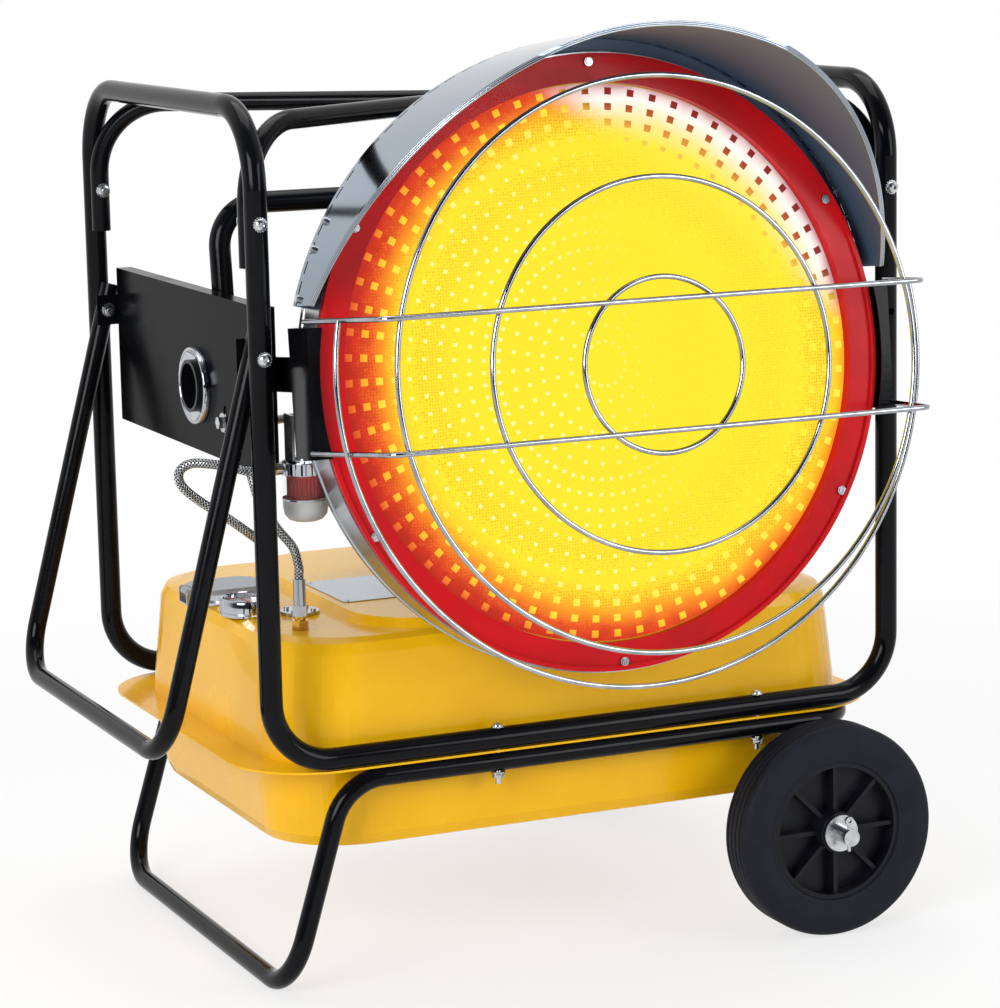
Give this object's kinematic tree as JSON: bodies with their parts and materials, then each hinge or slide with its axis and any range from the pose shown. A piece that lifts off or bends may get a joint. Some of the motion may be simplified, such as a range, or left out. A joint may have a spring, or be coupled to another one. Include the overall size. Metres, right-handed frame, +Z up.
{
  "type": "infrared heater",
  "caption": "Mobile infrared oil heater with a large round glowing disc in a tilting guarded head, on a tubular frame with wheels, swinging handle and pressed fuel tank.",
  "frame": {"origin": "centre of the object's footprint box on the floor", "axes": "+Z up, the glowing disc faces -Y, +X towards the wheels"},
  "size_m": [0.92, 0.8928, 1.0691],
  "materials": {
    "frame_black": "gloss",
    "panel_grey": "satin",
    "tank_yellow": "gloss",
    "red_enamel": "gloss",
    "hot_emitter": "satin",
    "stainless": "polished",
    "chrome_wire": "polished",
    "plated_steel": "satin",
    "zinc": "satin",
    "cap_grey": "satin",
    "brass": "satin",
    "braid": "matte",
    "tyre": "matte",
    "rim_plastic": "matte",
    "gauge_lens": "gloss",
    "bowl_clear": "gloss",
    "red_plastic": "gloss",
    "chamber_steel": "matte"
  },
  "bodies": {
    "frame": {"front_frame": "frame_black", "rear_frame": "frame_black", "top_brace": "frame_black", "side_panel_left": "panel_grey", "side_panel_right": "panel_grey", "trunnion_collars": "chrome_wire", "lower_frame": "frame_black", "axle_brackets": "frame_black", "axle": "plated_steel", "wheel_washers": "zinc", "split_pins": "zinc", "tank_upper": "tank_yellow", "tank_lower": "tank_yellow", "filler_neck": "plated_steel", "gauge_body": "plated_steel", "gauge_glass": "gauge_lens", "pickup_plate": "plated_steel", "brass_unions": "brass", "hose_nuts": "plated_steel", "supply_hose": "braid", "return_hose": "braid", "frame_bolts": "zinc", "tank_bolts": "zinc", "handle_pivots": "zinc", "drain_plug": "zinc"},
    "head": {"casing_band": "stainless", "casing_back": "stainless", "red_ring": "red_enamel", "emitter_disc": "hot_emitter", "hood": "stainless", "guard_rings": "chrome_wire", "guard_bars": "chrome_wire", "guard_rear_ring": "chrome_wire", "bracket_left": "frame_black", "bracket_right": "frame_black", "trunnion_arm_left": "frame_black", "trunnion_arm_right": "frame_black", "tilt_hoop": "frame_black", "combustion_chamber": "chamber_steel", "burner_cover": "panel_grey", "blower_motor": "plated_steel", "fuel_pump": "zinc", "nozzle_tube": "plated_steel", "strainer_head": "zinc", "strainer_bowl": "bowl_clear", "strainer_element": "red_plastic", "head_screws": "zinc", "lock_bolts": "zinc", "power_inlet": "rim_plastic"},
    "handle": {"carry_handle": "frame_black"},
    "cap": {"filler_cap": "cap_grey"},
    "needle": {"gauge_needle": "red_plastic"},
    "front_wheel": {"front_tyre": "tyre", "front_rim": "rim_plastic"},
    "rear_wheel": {"rear_tyre": "tyre", "rear_rim": "rim_plastic"},
    "blower": {"blower_wheel": "plated_steel"},
    "switch": {"rocker_switch": "red_plastic"},
    "reset": {"reset_button": "red_plastic"}
  },
  "joints": [
    {"name": "head_tilt", "type": "hinge", "parent": "frame", "child": "head", "pos_m": [0.05303, 0.02629, 0.66], "axis": [-1, 0, 0], "range_deg": [-4, 8], "deforming": ["supply_hose", "return_hose"]},
    {"name": "handle_swing", "type": "hinge", "parent": "frame", "child": "handle", "pos_m": [-0.33297, 0.06429, 0.719], "axis": [0, 1, 0], "range_deg": [0, 90]},
    {"name": "filler_cap_open", "type": "hinge", "parent": "frame", "child": "cap", "pos_m": [-0.31697, 0.10129, 0.408], "axis": [0, -1, 0], "range_deg": [0, 100]},
    {"name": "gauge_needle_turn", "type": "hinge", "parent": "frame", "child": "needle", "pos_m": [-0.27397, 0.01029, 0.406], "axis": [0, 0, 1], "range_deg": [-60, 60]},
    {"name": "front_wheel_spin", "type": "hinge", "parent": "frame", "child": "front_wheel", "pos_m": [0.33503, -0.26231, 0.125], "axis": [0, 1, 0], "continuous": true},
    {"name": "rear_wheel_spin", "type": "hinge", "parent": "frame", "child": "rear_wheel", "pos_m": [0.33503, 0.39089, 0.125], "axis": [0, 1, 0], "continuous": true},
    {"name": "blower_spin", "type": "hinge", "parent": "head", "child": "blower", "pos_m": [0.05303, 0.173, 0.68681], "axis": [0, -0.9945, 0.1045], "continuous": true},
    {"name": "switch_rock", "type": "hinge", "parent": "head", "child": "switch", "pos_m": [-0.01247, 0.17674, 0.54062], "axis": [1, 0, 0], "range_deg": [-9, 9]},
    {"name": "reset_press", "type": "slide", "parent": "head", "child": "reset", "axis": [0, -0.9945, 0.1045], "range_m": [0, 0.003], "stiffness_N_per_m": 400}
  ]
}
